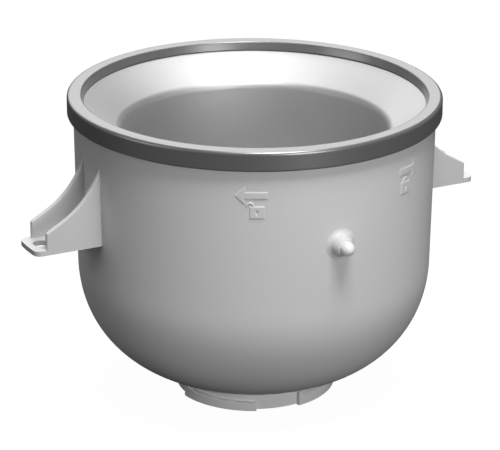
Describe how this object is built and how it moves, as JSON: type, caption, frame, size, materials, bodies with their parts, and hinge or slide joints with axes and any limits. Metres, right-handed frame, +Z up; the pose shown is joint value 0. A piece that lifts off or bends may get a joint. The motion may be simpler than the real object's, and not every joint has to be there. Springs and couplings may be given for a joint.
{
  "type": "ice cream maker freeze bowl",
  "caption": "Double-walled freeze bowl that turns a stand mixer into an ice cream maker: grey rim, flared metal liner, side brackets, latch pin and twist-on base ring.",
  "frame": {"origin": "centre of the base ring's bottom plane, on the bowl's axis", "axes": "+Z up along the bowl's axis, the two mixer brackets along +X and -X, the latch pin along -Y"},
  "size_m": [0.309, 0.2414, 0.194],
  "materials": {
    "shell_plastic": "fine satin grain, white",
    "rim_plastic": "satin mid grey",
    "liner_metal": "soft satin",
    "seal_rubber": "matte dark",
    "gel": "pale blue gel"
  },
  "bodies": {
    "bowl": {"outer_shell": "shell_plastic", "left_bracket": "shell_plastic", "right_bracket": "shell_plastic", "latch_pin": "shell_plastic", "rim_ring": "rim_plastic", "ring_seal": "seal_rubber", "inner_bowl": "liner_metal", "rim_seal": "seal_rubber", "freezing_gel": "gel", "fill_plug": "shell_plastic", "fill_plug_seal": "seal_rubber"},
    "base_ring": {"adapter_ring": "shell_plastic"}
  },
  "joints": [
    {"name": "base_ring_twist", "type": "hinge", "parent": "bowl", "child": "base_ring", "pos_m": [0, 0, 0], "axis": [0, 0, 1], "range_deg": [0, 30]}
  ]
}
